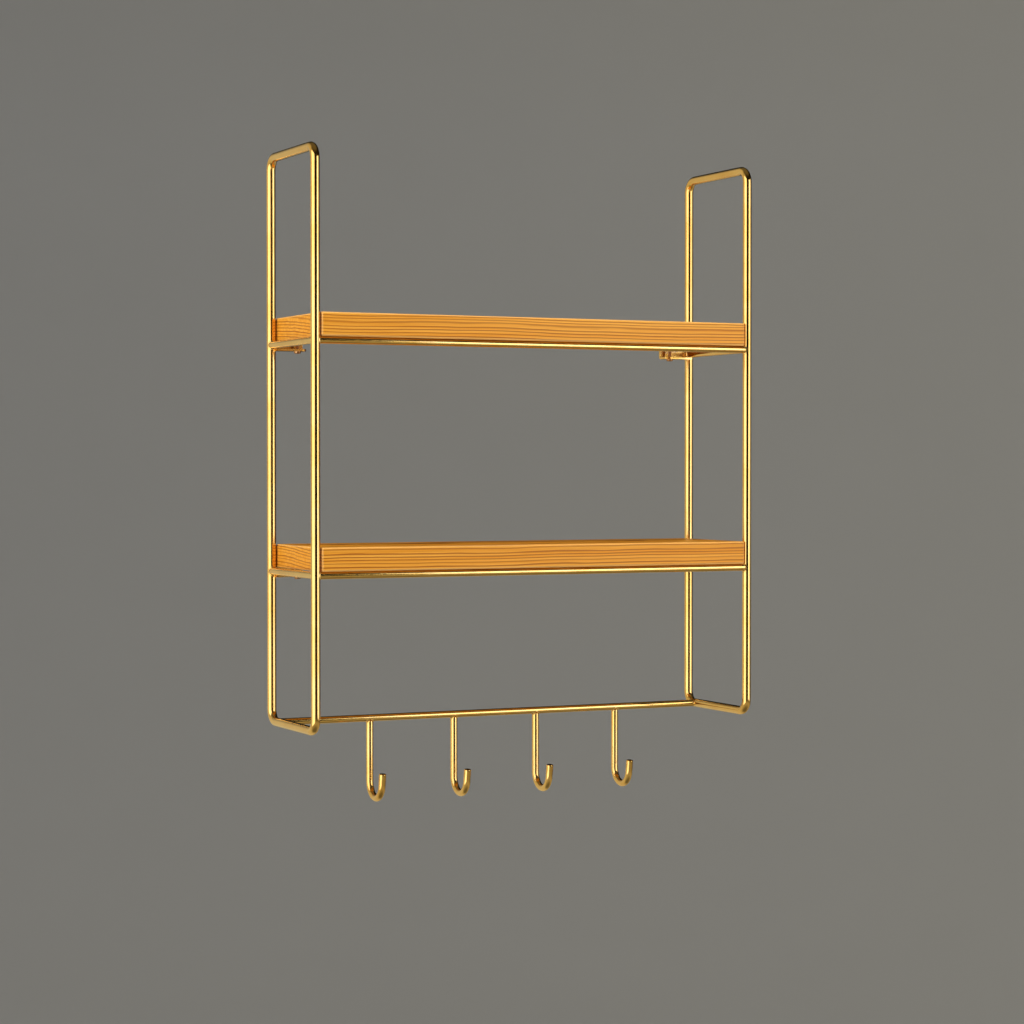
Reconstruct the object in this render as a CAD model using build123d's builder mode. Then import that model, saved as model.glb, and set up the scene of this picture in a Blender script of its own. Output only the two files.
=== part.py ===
from build123d import *
import os

# Wall shelf: two closed side loops of bent round bar, joined by welded front rails and
# a hook rail, carry two loose wooden boards. Four corner brackets fix it to the wall
# and hold the boards down with one screw each. Nothing moves. All lengths are in mm.
#
# Frame: +Z up, +Y into the wall, +X to the right of a person who faces the shelf.
# The wall is the plane Y = 0 and the origin is the centre of the four wall screws.

# Round bar and side loops
loop_d = 10.0  # bar of the two side loops
rod_d = 8.0  # bar of the rails, side rods and hooks
loop_pitch = 530.0  # between the planes of the two loops
loop_depth = 145.0  # overall, from the wall to the front
loop_height = 632.0  # overall
loop_bend_r = 14.0  # of the bar's centreline
lower_rail_rise = 166.0  # lower rail's axis above the loop's bottom bar
cope_land = 1.5  # a coped end stays at least this far from the other bar's axis

# Boards
board_t = 26.0
board_arris_r = 1.5
board_end_gap = 1.0  # between a board's end and the posts
board_rear_gap = 0.5  # between a board and the upright bracket legs

# Hooks
hook_pitch = 103.5
hook_count = 4
hook_rail_setback = 18.0  # hook rail's axis in front of the rear posts' axes
hook_drop = 92.0  # rail's axis to the lowest point
hook_bend_r = 18.0  # of the bar's centreline
hook_tip_rise = 33.0  # lowest point to the tip
hook_flare = 8.0  # degrees that the tip leans to the front
hook_tip_chamfer = 0.7

# Corner brackets: bent strip, one leg level with the undersides of the side rods and one behind
# the board
strip_t = 2.5
bracket_w = 35.0
bracket_weld_land = 3.0  # the strip stops this far short of the post's axis
under_leg = 18.0
rear_leg = 24.0  # above the board's underside
strip_inner_r = 1.0
strip_corner_r = 6.0
wall_hole_r = 2.5
wall_sink_r = 4.3
screw_hole_r = 2.2

# Wall-screw pattern, whose centre is the origin
wall_hole_pitch_x = 490.0
wall_hole_pitch_z = 250.0  # also the pitch of the two boards
wall_hole_rise = 13.0  # above the board's underside

# Board screws: pan head, cross recess
screw_x = 236.0
screw_y = -10.0
screw_head_r = 3.8
screw_head_h = 2.4
screw_head_round = 1.1
screw_neck_r = 2.0
screw_core_r = 1.6
screw_bite = 16.0  # into the board
screw_point = 3.0
recess_span = 4.4
recess_slot = 0.9
recess_depth = 1.3

# Positions that follow
loop_r = loop_d / 2
rod_r = rod_d / 2
post_x = loop_pitch / 2
rear_y = -loop_r
front_y = loop_r - loop_depth
upper_board_z = wall_hole_pitch_z / 2 - wall_hole_rise
lower_board_z = upper_board_z - wall_hole_pitch_z
loop_bottom_z = lower_board_z - rod_r - lower_rail_rise
loop_top_z = loop_bottom_z + loop_height - loop_d
hook_y = rear_y - hook_rail_setback
board_l = 2 * (post_x - loop_r - board_end_gap)
board_back_y = -strip_t - board_rear_gap
board_front_y = -loop_depth
bracket_inner_x = post_x - bracket_weld_land - bracket_w

levels = (("upper", upper_board_z), ("lower", lower_board_z))
sides = (("left", -1), ("right", 1))
hook_names = ("outer_left", "inner_left", "inner_right", "outer_right")


def save(piece, label):
    """Label a finished piece and write its STEP file."""
    piece.part.label = label
    export_step(piece.part, f"parts/{label}.step")


def side_loop(x):
    """One bar bent into a closed upright rectangle, its ends butt-welded."""
    with BuildPart() as loop:
        with BuildLine(Plane.YZ.offset(x)) as path:
            FilletPolyline(
                (rear_y, loop_top_z),
                (front_y, loop_top_z),
                (front_y, loop_bottom_z),
                (rear_y, loop_bottom_z),
                radius=loop_bend_r,
                close=True,
            )
        with BuildSketch(Plane(origin=path.line @ 0, z_dir=path.line % 0)):
            Circle(loop_r)
        sweep()
    return loop


def front_rail(z):
    """Rail across the front posts, coped to both and mitred to the side rods."""
    with BuildPart() as rail:
        with BuildSketch(Plane.YZ.offset(cope_land - post_x)):
            with Locations((front_y, z)):
                Circle(rod_r)
        extrude(amount=loop_pitch - 2 * cope_land)
        with BuildSketch(Plane.XY.offset(z - rod_d)):
            with Locations((-post_x, front_y), (post_x, front_y)):
                Circle(loop_r)
            with BuildLine():
                Polyline(
                    (post_x, front_y),
                    (post_x - rod_d, front_y + rod_d),
                    (post_x, front_y + rod_d),
                    close=True,
                )
            make_face()
            mirror(about=Plane.YZ)
        extrude(amount=2 * rod_d, mode=Mode.SUBTRACT)
    return rail


def side_rod(side, z):
    """Rod between a loop's two posts, coped to both and mitred to the front rail."""
    x = side * post_x
    with BuildPart() as rod:
        with BuildSketch(Plane.XZ.offset(cope_land - rear_y)):
            with Locations((x, z)):
                Circle(rod_r)
        extrude(amount=rear_y - front_y - 2 * cope_land)
        with BuildSketch(Plane.XY.offset(z - rod_d)):
            with Locations((x, front_y), (x, rear_y)):
                Circle(loop_r)
            with BuildLine():
                Polyline(
                    (x, front_y),
                    (x - side * rod_d, front_y + rod_d),
                    (x - side * rod_d, front_y),
                    close=True,
                )
            make_face()
        extrude(amount=2 * rod_d, mode=Mode.SUBTRACT)
    return rod


def cross_rail_for_hooks():
    """Rail between the loops' bottom bars, near the wall, coped to both."""
    with BuildPart() as rail:
        with BuildSketch(Plane.YZ.offset(cope_land - post_x)):
            with Locations((hook_y, loop_bottom_z)):
                Circle(rod_r)
        extrude(amount=loop_pitch - 2 * cope_land)
        with BuildSketch(Plane.XZ.offset(-hook_y - rod_d)):
            with Locations((-post_x, loop_bottom_z), (post_x, loop_bottom_z)):
                Circle(loop_r)
        extrude(amount=2 * rod_d, mode=Mode.SUBTRACT)
    return rail


def hook(x):
    """J-hook that hangs from the hook rail and opens to the front."""
    top_z = loop_bottom_z - cope_land
    bend_z = loop_bottom_z - hook_drop + rod_r + hook_bend_r
    tip_z = loop_bottom_z - hook_drop + hook_tip_rise
    with BuildPart() as piece:
        with BuildLine(Plane.YZ.offset(x)):
            stem = Line((hook_y, top_z), (hook_y, bend_z))
            bend = JernArc(stem @ 1, (0, -1), hook_bend_r, hook_flare - 180)
            tip_run = (tip_z - (bend @ 1).Z) / (bend % 1).Z
            Line(bend @ 1, bend @ 1 + tip_run * (bend % 1))
        with BuildSketch(Plane.XY.offset(top_z)):
            with Locations((x, hook_y)):
                Circle(rod_r)
        sweep()
        tip_rim = piece.edges().filter_by(GeomType.CIRCLE).sort_by(Axis.Y)[0]
        chamfer(tip_rim, length=hook_tip_chamfer)
        with BuildSketch(Plane.YZ.offset(x - rod_d)):
            with Locations((hook_y, loop_bottom_z)):
                Circle(rod_r)
        extrude(amount=2 * rod_d, mode=Mode.SUBTRACT)
    return piece


def board(z):
    """Solid board with eased edges and a pilot hole for each of its two screws."""
    with BuildPart() as plank:
        with BuildSketch(Plane.XY.offset(z)):
            with Locations((0, (board_front_y + board_back_y) / 2)):
                Rectangle(board_l, board_back_y - board_front_y)
        extrude(amount=board_t)
        fillet(plank.edges(), radius=board_arris_r)
        with BuildSketch(Plane.XY.offset(z)):
            with Locations((-screw_x, screw_y), (screw_x, screw_y)):
                Circle(screw_core_r)
        extrude(amount=screw_bite, mode=Mode.SUBTRACT)
    return plank


def corner_bracket(side, z):
    """Bent strip welded to a rear post, one leg below the side rod, one on the wall."""
    hole_x = side * wall_hole_pitch_x / 2
    leg_z = z - rod_d
    with BuildPart() as bracket:
        with BuildSketch(Plane.YZ.offset(side * bracket_inner_x)) as profile:
            with BuildLine():
                Polyline(
                    (0, leg_z - strip_t),
                    (-under_leg, leg_z - strip_t),
                    (-under_leg, leg_z),
                    (-strip_t, leg_z),
                    (-strip_t, z + rear_leg),
                    (0, z + rear_leg),
                    close=True,
                )
            make_face()
            bend_inside = profile.vertices().group_by(Axis.Y)[1].sort_by(Axis.X)[-1]
            fillet(bend_inside, radius=strip_inner_r)
            bend_outside = profile.vertices().group_by(Axis.Y)[0].sort_by(Axis.X)[-1]
            fillet(bend_outside, radius=strip_inner_r + strip_t)
        extrude(amount=side * bracket_w)

        inner_end = bracket.edges().group_by(Axis.X)[0 if side > 0 else -1]
        rear_leg_corner = inner_end.filter_by(Axis.Y).sort_by(Axis.Z)[-1]
        under_leg_corner = inner_end.filter_by(Axis.Z).sort_by(Axis.Y)[0]
        fillet([rear_leg_corner, under_leg_corner], radius=strip_corner_r)

        with BuildSketch(Plane.XY.offset(leg_z - rod_d)):
            with Locations((side * post_x, rear_y)):
                Circle(loop_r)
        extrude(amount=rear_leg + 3 * rod_d, mode=Mode.SUBTRACT)

        front_of_leg = Plane((hole_x, -strip_t, z + wall_hole_rise), z_dir=(0, -1, 0))
        with Locations(front_of_leg):
            CounterSinkHole(wall_hole_r, wall_sink_r, counter_sink_angle=90)
        with BuildSketch(Plane.XY.offset(leg_z - strip_t)):
            with Locations((side * screw_x, screw_y)):
                Circle(screw_hole_r)
        extrude(amount=strip_t, mode=Mode.SUBTRACT)
    return bracket


def board_screw(side, z):
    """Pan-head wood screw, driven up through the bracket's leg into the board."""
    seat_z = z - rod_d - strip_t
    head_z = seat_z - screw_head_h
    axis = Plane((side * screw_x, screw_y, 0), x_dir=(1, 0, 0), z_dir=(0, -1, 0))
    with BuildPart() as screw:
        with BuildSketch(axis) as profile:
            with BuildLine():
                Polyline(
                    (0, head_z),
                    (screw_head_r, head_z),
                    (screw_head_r, seat_z),
                    (screw_neck_r, seat_z),
                    (screw_neck_r, z),
                    (screw_core_r, z),
                    (screw_core_r, z + screw_bite - screw_point),
                    (0, z + screw_bite),
                    close=True,
                )
            make_face()
            rim = profile.vertices().group_by(Axis.Y)[0].sort_by(Axis.X)[-1]
            fillet(rim, radius=screw_head_round)
        revolve(axis=Axis((side * screw_x, screw_y, 0), (0, 0, 1)))
        with BuildSketch(Plane.XY.offset(head_z)):
            with Locations((side * screw_x, screw_y)):
                Rectangle(recess_span, recess_slot)
                Rectangle(recess_slot, recess_span)
        extrude(amount=recess_depth, mode=Mode.SUBTRACT)
    return screw


os.makedirs("parts", exist_ok=True)

for side_name, side in sides:
    save(side_loop(side * post_x), f"{side_name}_side_loop")

save(cross_rail_for_hooks(), "hook_rail")
for i, hook_name in enumerate(hook_names):
    save(hook((i - (hook_count - 1) / 2) * hook_pitch), f"{hook_name}_hook")

for level, board_z in levels:
    save(front_rail(board_z - rod_r), f"{level}_front_rail")
    save(board(board_z), f"{level}_board")
    for side_name, side in sides:
        save(side_rod(side, board_z - rod_r), f"{level}_{side_name}_side_rod")
        save(corner_bracket(side, board_z), f"{level}_{side_name}_bracket")
        save(board_screw(side, board_z), f"{level}_{side_name}_board_screw")
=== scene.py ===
"""Looks of a wall shelf: gold round bar, varnished pine boards, welds, brackets and screws.

Everything is in metres in the shelf's own frame: +Z up, +Y into the wall, +X to the right
of a person who faces the shelf, and the origin at the centre of the wall screws.
"""

import logging
import math
from dataclasses import dataclass, field
from enum import Enum
from typing import Any, Mapping, Sequence, Union

import bpy
import numpy as np
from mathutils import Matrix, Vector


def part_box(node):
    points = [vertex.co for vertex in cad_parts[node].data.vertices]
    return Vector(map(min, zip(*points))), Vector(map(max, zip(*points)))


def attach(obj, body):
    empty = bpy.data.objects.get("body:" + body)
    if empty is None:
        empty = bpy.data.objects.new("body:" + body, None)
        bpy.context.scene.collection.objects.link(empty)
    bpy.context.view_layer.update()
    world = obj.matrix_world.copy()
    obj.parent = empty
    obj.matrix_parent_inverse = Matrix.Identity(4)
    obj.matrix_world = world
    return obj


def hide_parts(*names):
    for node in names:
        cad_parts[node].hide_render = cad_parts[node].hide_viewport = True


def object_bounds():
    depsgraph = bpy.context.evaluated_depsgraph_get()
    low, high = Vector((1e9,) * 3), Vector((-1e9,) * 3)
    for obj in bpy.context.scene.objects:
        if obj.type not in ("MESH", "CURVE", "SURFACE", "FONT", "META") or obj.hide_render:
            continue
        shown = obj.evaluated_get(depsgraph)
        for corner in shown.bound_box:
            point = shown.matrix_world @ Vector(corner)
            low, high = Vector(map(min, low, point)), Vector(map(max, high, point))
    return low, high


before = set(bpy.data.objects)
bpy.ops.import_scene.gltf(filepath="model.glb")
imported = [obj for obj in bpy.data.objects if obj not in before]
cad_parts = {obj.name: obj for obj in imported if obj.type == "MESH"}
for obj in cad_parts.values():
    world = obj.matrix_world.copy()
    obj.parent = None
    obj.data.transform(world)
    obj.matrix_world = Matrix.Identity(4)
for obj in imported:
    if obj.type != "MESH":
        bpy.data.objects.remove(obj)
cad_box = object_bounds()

log = logging.getLogger("wall_shelf")

MM = 0.001
ROOT = "root"
X_AXIS = np.array([1.0, 0.0, 0.0])
Y_AXIS = np.array([0.0, 1.0, 0.0])
Z_AXIS = np.array([0.0, 0.0, 1.0])

# Sizes of the rings that close a bar's coped end, as shares of its radius
CLOSING = np.array([0.25, 0.5, 0.75, 1.0])

Colour = tuple[float, float, float]
Value = Union["Shade", float, Sequence[float]]


class Side(Enum):
    """The two ends of the shelf, as a person who faces it names them."""

    LEFT = -1
    RIGHT = 1

    @property
    def word(self) -> str:
        """The side's word in node names."""
        return self.name.lower()


class Level(Enum):
    """The two boards and what carries them."""

    UPPER = "upper"
    LOWER = "lower"


class Slot(Enum):
    """The record's material slots, named for new pieces but not applied to them."""

    GOLD = "gold_steel"
    PINE = "pine_board"


# ---------------------------------------------------------------------------
# Shader expressions
# ---------------------------------------------------------------------------


class Shade:
    """An output socket that takes part in Python expressions."""

    def __init__(self, tree: "ShadeTree", socket: bpy.types.NodeSocket) -> None:
        """Wrap a socket of a tree."""
        self.tree = tree
        self.socket = socket

    def __add__(self, other: Value) -> "Shade":
        """Sum."""
        return self.tree.math("ADD", self, other)

    __radd__ = __add__

    def __mul__(self, other: Value) -> "Shade":
        """Product."""
        return self.tree.math("MULTIPLY", self, other)

    __rmul__ = __mul__

    def __sub__(self, other: Value) -> "Shade":
        """Difference."""
        return self.tree.math("SUBTRACT", self, other)

    def __rsub__(self, other: Value) -> "Shade":
        """Reflected difference, so that 1 - mask works."""
        return self.tree.math("SUBTRACT", other, self)

    def fraction(self) -> "Shade":
        """What is left of the value after its whole part."""
        return self.tree.math("FRACT", self, 0.0)

    def band(self, low: float, high: float) -> "Shade":
        """Smooth step from 0 to 1.

        Args:
            low: where it leaves 0.
            high: where it reaches 1.

        Returns:
            The step's value.
        """
        return self.tree.make(
            "ShaderNodeMapRange",
            {"interpolation_type": "SMOOTHSTEP"},
            {"Value": self, "From Min": low, "From Max": high},
        )


class ShadeTree:
    """A node tree, built by expressions and one node-making method."""

    def __init__(self, owner: bpy.types.Material | bpy.types.World) -> None:
        """Start with an empty tree.

        Args:
            owner: the new material or world that the tree belongs to.
        """
        self.owner = owner
        owner.use_nodes = True
        self.nodes = owner.node_tree.nodes
        self.links = owner.node_tree.links
        self.nodes.clear()

    def node(
        self,
        kind: str,
        settings: Mapping[str, Any] | None = None,
        inputs: Mapping[Any, Value] | None = None,
    ) -> bpy.types.Node:
        """Add a node: its type first, then its settings, then its sockets.

        Args:
            kind: the node's type name.
            settings: attributes of the node.
            inputs: numbers, colours or shades by socket name or number.

        Returns:
            The new node.
        """
        made = self.nodes.new(kind)
        for key, setting in (settings or {}).items():
            setattr(made, key, setting)
        for key, value in (inputs or {}).items():
            if isinstance(value, Shade):
                self.links.new(value.socket, made.inputs[key])
            else:
                made.inputs[key].default_value = value
        return made

    def make(
        self,
        kind: str,
        settings: Mapping[str, Any] | None = None,
        inputs: Mapping[Any, Value] | None = None,
        output: str | int = 0,
    ) -> Shade:
        """Add a node and take one of its outputs.

        Args:
            kind: the node's type name.
            settings: attributes of the node.
            inputs: numbers, colours or shades by socket name or number.
            output: the output's name or number.

        Returns:
            That output as a shade.
        """
        return Shade(self, self.node(kind, settings, inputs).outputs[output])

    def math(self, operation: str, first: Value, second: Value) -> Shade:
        """Add a Math node.

        Args:
            operation: the node's operation.
            first: its first value.
            second: its second value.

        Returns:
            The result.
        """
        return self.make(
            "ShaderNodeMath", {"operation": operation}, {0: first, 1: second}
        )

    def vector(self, operation: str, first: Value, second: Value) -> Shade:
        """Add a Vector Math node.

        Args:
            operation: the node's operation.
            first: its first value.
            second: its second value.

        Returns:
            The result.
        """
        return self.make(
            "ShaderNodeVectorMath", {"operation": operation}, {0: first, 1: second}
        )

    def blend(self, share: Value, first: Value, second: Value) -> Shade:
        """Mix two colours.

        Args:
            share: how much of the second colour.
            first: a colour or a shade.
            second: a colour or a shade.

        Returns:
            The mixed colour.
        """
        first = first if isinstance(first, Shade) else (*first, 1.0)
        second = second if isinstance(second, Shade) else (*second, 1.0)
        return self.make("ShaderNodeMix", {"data_type": "RGBA"}, {0: share, 6: first, 7: second}, 2)

    def noise(self, place: Shade, scale: float, detail: float = 2.0, rough: float = 0.5) -> Shade:
        """Soft noise between about 0.2 and 0.8.

        Args:
            place: the coordinates that it is read at.
            scale: waves per unit of those coordinates.
            detail: octaves above the first.
            rough: strength of each octave against the one before.

        Returns:
            The noise value.
        """
        inputs = {"Vector": place, "Scale": scale, "Detail": detail, "Roughness": rough}
        return self.make("ShaderNodeTexNoise", None, inputs)

    def place(self) -> Shade:
        """The point on the surface, in the shelf's frame, in metres."""
        return self.make("ShaderNodeTexCoord", output="Object")

    def attribute(self, name: str) -> Shade:
        """A number stored at the mesh's points."""
        return self.make("ShaderNodeAttribute", {"attribute_name": name}, output="Fac")

    def bump(self, height: Shade, depth: float, below: Shade | None = None) -> Shade:
        """Turn a height into a normal.

        Args:
            height: the relief, from 0 to 1.
            depth: what 1 stands for, in metres.
            below: a normal that this relief lies on.

        Returns:
            The new normal.
        """
        inputs: dict[str, Value] = {"Height": height, "Distance": depth, "Strength": 1.0}
        if below is not None:
            inputs["Normal"] = below
        return self.make("ShaderNodeBump", None, inputs)

    def surface(self, sockets: Mapping[str, Value]) -> bpy.types.Material:
        """Close the tree with a Principled shader.

        Args:
            sockets: values or shades by the shader's socket names.

        Returns:
            The material.
        """
        shader = self.make("ShaderNodeBsdfPrincipled", None, sockets)
        self.node("ShaderNodeOutputMaterial", None, {"Surface": shader})
        return self.owner


# ---------------------------------------------------------------------------
# Finishes
# ---------------------------------------------------------------------------


@dataclass(frozen=True)
class GoldFinish:
    """Polished, gold-plated steel bar under a thin clear lacquer.

    Attributes:
        name: the material's name.
        follows_bar: whether the drawing lines follow a bar's own map.
        plate: colour of the plating.
        deep_plate: its colour where it is thicker.
        roughness: of the plating.
        polish_change: how much the roughness comes and goes.
        lacquer: weight of the lacquer.
        lacquer_roughness: of the lacquer.
        lacquer_index: its refractive index.
        draw_lines: depth of the lines left by drawing, in metres.
        waviness: depth of the slow waves in the polish, in metres.
    """

    name: str = "gold_plate"
    follows_bar: bool = True
    plate: Colour = (0.92, 0.59, 0.17)
    deep_plate: Colour = (0.84, 0.48, 0.08)
    roughness: float = 0.13
    polish_change: float = 0.08
    lacquer: float = 1.0
    lacquer_roughness: float = 0.06
    lacquer_index: float = 1.7
    draw_lines: float = 0.7e-6
    waviness: float = 1.0e-6

    def place_on_bar(self, tree: ShadeTree) -> Shade:
        """Coordinates that run round and along a bar, so that lines follow its bends.

        The UV map holds the turn round the bar and the distance along it. Round the bar they
        become a circle, which has no seam, and along it they are drawn out.

        Args:
            tree: the tree to work in.

        Returns:
            The coordinates.
        """
        parts = tree.node("ShaderNodeSeparateXYZ", None, {0: tree.make("ShaderNodeUVMap")})
        turn = Shade(tree, parts.outputs[0]) * math.tau
        along = Shade(tree, parts.outputs[1])
        across = tree.math("COSINE", turn, 0.0)
        up = tree.math("SINE", turn, 0.0)
        return tree.make("ShaderNodeCombineXYZ", None, {0: across, 1: up, 2: along * 2.0})

    def material(self) -> bpy.types.Material:
        """Build the material.

        Returns:
            The finished material.
        """
        tree = ShadeTree(bpy.data.materials.new(self.name))
        place = tree.place()
        if self.follows_bar:
            lines_place = self.place_on_bar(tree)
            lines = tree.noise(lines_place, 24.0, 3.0, 0.6)
        else:
            stretched = tree.vector("MULTIPLY", place, (40.0, 900.0, 900.0))
            lines = tree.noise(stretched, 1.0, 3.0, 0.6)
        clouds = tree.noise(place, 28.0, 3.0, 0.55)
        waves = tree.noise(place, 150.0, 1.0)
        handling = tree.noise(place, 9.0, 5.0, 0.62).band(0.50, 0.72)

        colour = tree.blend(clouds.band(0.35, 0.75), self.plate, self.deep_plate)
        colour = tree.blend(lines.band(0.55, 0.8) * 0.25, colour, self.deep_plate)
        rough = (
            self.roughness
            + (clouds - 0.5) * self.polish_change
            + (lines - 0.5) * self.polish_change
            + handling * 0.07
        )
        normal = tree.bump(waves, self.waviness)
        normal = tree.bump(lines, self.draw_lines, normal)
        return tree.surface(
            {
                "Base Color": colour,
                "Metallic": 1.0,
                "Roughness": rough,
                "Normal": normal,
                "Coat Weight": self.lacquer,
                "Coat Roughness": self.lacquer_roughness,
                "Coat IOR": self.lacquer_index,
            }
        )


@dataclass(frozen=True)
class PineFinish:
    """Flat-sawn pine under a warm satin varnish.

    The growth attribute counts the growth rings at each point of the board, so a ring is dark
    late wood just before each whole number and pale early wood just after it.

    Attributes:
        name: the material's name.
        early_wood: colour of spring growth.
        middle_wood: colour between the two.
        late_wood: colour of summer growth.
        edge_wear_and_highlight: colour of the eased edges, partly rubbed wear and partly a painted
            highlight on their rounding.
        roughness: of the wood.
        shine: strength of the wood's own reflection.
        varnish: weight of the varnish.
        varnish_roughness: of the varnish.
        ring_relief: height of late wood, in metres.
        fibre_relief: height of the fibres, in metres.
    """

    name: str = "varnished_pine"
    early_wood: Colour = (0.86, 0.40, 0.050)
    middle_wood: Colour = (0.74, 0.28, 0.014)
    late_wood: Colour = (0.30, 0.070, 0.002)
    edge_wear_and_highlight: Colour = (0.92, 0.56, 0.20)
    roughness: float = 0.46
    shine: float = 0.15
    varnish: float = 0.08
    varnish_roughness: float = 0.20
    ring_relief: float = 4.0e-5
    fibre_relief: float = 1.2e-5

    def material(self) -> bpy.types.Material:
        """Build the material.

        Returns:
            The finished material.
        """
        tree = ShadeTree(bpy.data.materials.new(self.name))
        place = tree.place()
        growth = tree.attribute("growth")
        eased = tree.attribute("eased")

        wander = tree.noise(tree.vector("MULTIPLY", place, (3.0, 60.0, 60.0)), 1.0, 3.0)
        ring = (growth + (wander - 0.5) * 0.5).fraction()
        late = ring.band(0.52, 0.80) * (1 - ring.band(0.93, 1.0))
        year = tree.noise(tree.make("ShaderNodeCombineXYZ", None, {0: growth}), 0.83, 1.0)
        late = late * (0.55 + year.band(0.35, 0.60) * 0.45)
        fibre_place = tree.vector("MULTIPLY", place, (26.0, 1500.0, 1500.0))
        fibre = tree.noise(fibre_place, 1.0, 4.0, 0.65)
        streak_place = tree.vector("MULTIPLY", place, (3.0, 240.0, 240.0))
        streak = tree.noise(streak_place, 1.0, 3.0, 0.6)
        patch = tree.noise(tree.vector("MULTIPLY", place, (5.0, 16.0, 40.0)), 1.0, 2.0)

        wood = tree.blend(streak.band(0.30, 0.72), self.early_wood, self.middle_wood)
        wood = tree.blend(late * 0.92, wood, self.late_wood)
        wood = tree.blend(fibre.band(0.52, 0.80) * 0.30, wood, self.late_wood)
        wood = tree.blend(patch.band(0.40, 0.75) * 0.22, wood, self.middle_wood)
        # Eased edges made lighter: partly rubbed wear, partly a painted highlight along the rounded
        # edges.
        wood = tree.blend(eased * 0.45, wood, self.edge_wear_and_highlight)

        rough = self.roughness + (fibre - 0.5) * 0.16 - late * 0.08 - eased * 0.05
        normal = tree.bump(late, self.ring_relief)
        normal = tree.bump(fibre, self.fibre_relief, normal)
        return tree.surface(
            {
                "Base Color": wood,
                "Roughness": rough,
                "Specular IOR Level": self.shine,
                "Normal": normal,
                "Coat Weight": self.varnish,
                "Coat Roughness": self.varnish_roughness,
                "Coat IOR": 1.5,
            }
        )


@dataclass(frozen=True)
class BronzeFinish:
    """Bronze-plated screw with rubbed patches.

    Attributes:
        name: the material's name.
        plate: colour of the plating.
        rubbed: its colour where it is rubbed bright.
        roughness: of the plating.
    """

    name: str = "bronze_plate"
    plate: Colour = (0.42, 0.21, 0.09)
    rubbed: Colour = (0.78, 0.50, 0.26)
    roughness: float = 0.30

    def material(self) -> bpy.types.Material:
        """Build the material.

        Returns:
            The finished material.
        """
        tree = ShadeTree(bpy.data.materials.new(self.name))
        place = tree.place()
        grain = tree.noise(place, 900.0, 4.0, 0.6)
        rub = tree.noise(place, 260.0, 3.0).band(0.5, 0.75)
        colour = tree.blend(rub * 0.6, self.plate, self.rubbed)
        return tree.surface(
            {
                "Base Color": colour,
                "Metallic": 1.0,
                "Roughness": self.roughness + (grain - 0.5) * 0.2,
                "Normal": tree.bump(grain, 4.0e-6),
            }
        )


@dataclass(frozen=True)
class StudioFinish:
    """Matt paper of the studio's floor and backdrop.

    Attributes:
        name: the material's name.
        paper: its colour.
    """

    name: str = "studio_paper"
    paper: Colour = (0.68, 0.69, 0.71)

    def material(self) -> bpy.types.Material:
        """Build the material.

        Returns:
            The finished material.
        """
        tree = ShadeTree(bpy.data.materials.new(self.name))
        mottle = tree.noise(tree.place(), 3.0, 2.0)
        darker = tuple(0.97 * channel for channel in self.paper)
        colour = tree.blend(mottle, self.paper, darker)
        return tree.surface({"Base Color": colour, "Roughness": 0.9})


# ---------------------------------------------------------------------------
# Meshes from grids
# ---------------------------------------------------------------------------


@dataclass
class Shell:
    """A closed surface made of rings of points, with a pole at each open end.

    Attributes:
        rings: points by ring and by place round the ring.
        poles: one point beyond the first ring and one beyond the last, or None for a closed hoop.
        along: distance along the piece at each ring.
        marks: numbers kept at each ring point, by name.
    """

    rings: np.ndarray
    poles: tuple[np.ndarray, np.ndarray] | None
    along: np.ndarray
    marks: dict[str, np.ndarray] = field(default_factory=dict)

    def faces(self) -> tuple[np.ndarray, np.ndarray]:
        """Index the faces.

        A four-sided face joins each point to the next one round and to the next ring, and
        three-sided faces join the end rings to the poles.

        Returns:
            The four-sided and the three-sided faces.
        """
        count, around = self.rings.shape[:2]
        last = count if self.poles is None else count - 1
        ring = np.arange(last)[:, None]
        here = np.arange(around)[None, :]
        after = (here + 1) % around
        above = (ring + 1) % count
        quads = np.stack(
            [
                ring * around + here,
                ring * around + after,
                above * around + after,
                above * around + here,
            ],
            axis=-1,
        ).reshape(-1, 4)
        if self.poles is None:
            return quads, np.zeros((0, 3), int)
        here, after = here[0], after[0]
        first_pole = np.full(around, count * around)
        end = (count - 1) * around
        start_fan = np.stack([first_pole, after, here], axis=-1)
        end_fan = np.stack([first_pole + 1, end + here, end + after], axis=-1)
        return quads, np.concatenate([start_fan, end_fan])

    def points(self) -> np.ndarray:
        """All points, ring by ring, then the poles."""
        flat = self.rings.reshape(-1, 3)
        return flat if self.poles is None else np.concatenate([flat, np.stack(self.poles)])

    def bar_map(self) -> np.ndarray:
        """Lay the shell out flat by the turn round it and the distance along it.

        Returns:
            Both numbers at every corner, in the faces' order.
        """
        count, around = self.rings.shape[:2]
        last = count if self.poles is None else count - 1
        ring, here = np.meshgrid(np.arange(last), np.arange(around), indexing="ij")
        step = np.append(self.along, 2 * self.along[-1] - self.along[-2])
        turn = np.stack([here, here + 1, here + 1, here], axis=-1) / around
        reach = np.stack([step[ring], step[ring], step[ring + 1], step[ring + 1]], axis=-1)
        corners = np.stack([turn, reach], axis=-1).reshape(-1, 2)
        if self.poles is None:
            return corners
        here = np.arange(around)
        middle = (here + 0.5) / around
        low, high = np.full(around, step[0]), np.full(around, step[count - 1])
        start = np.stack([middle, low, (here + 1) / around, low, here / around, low], axis=-1)
        end = np.stack([middle, high, here / around, high, (here + 1) / around, high], axis=-1)
        return np.concatenate([corners, start.reshape(-1, 2), end.reshape(-1, 2)])


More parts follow.
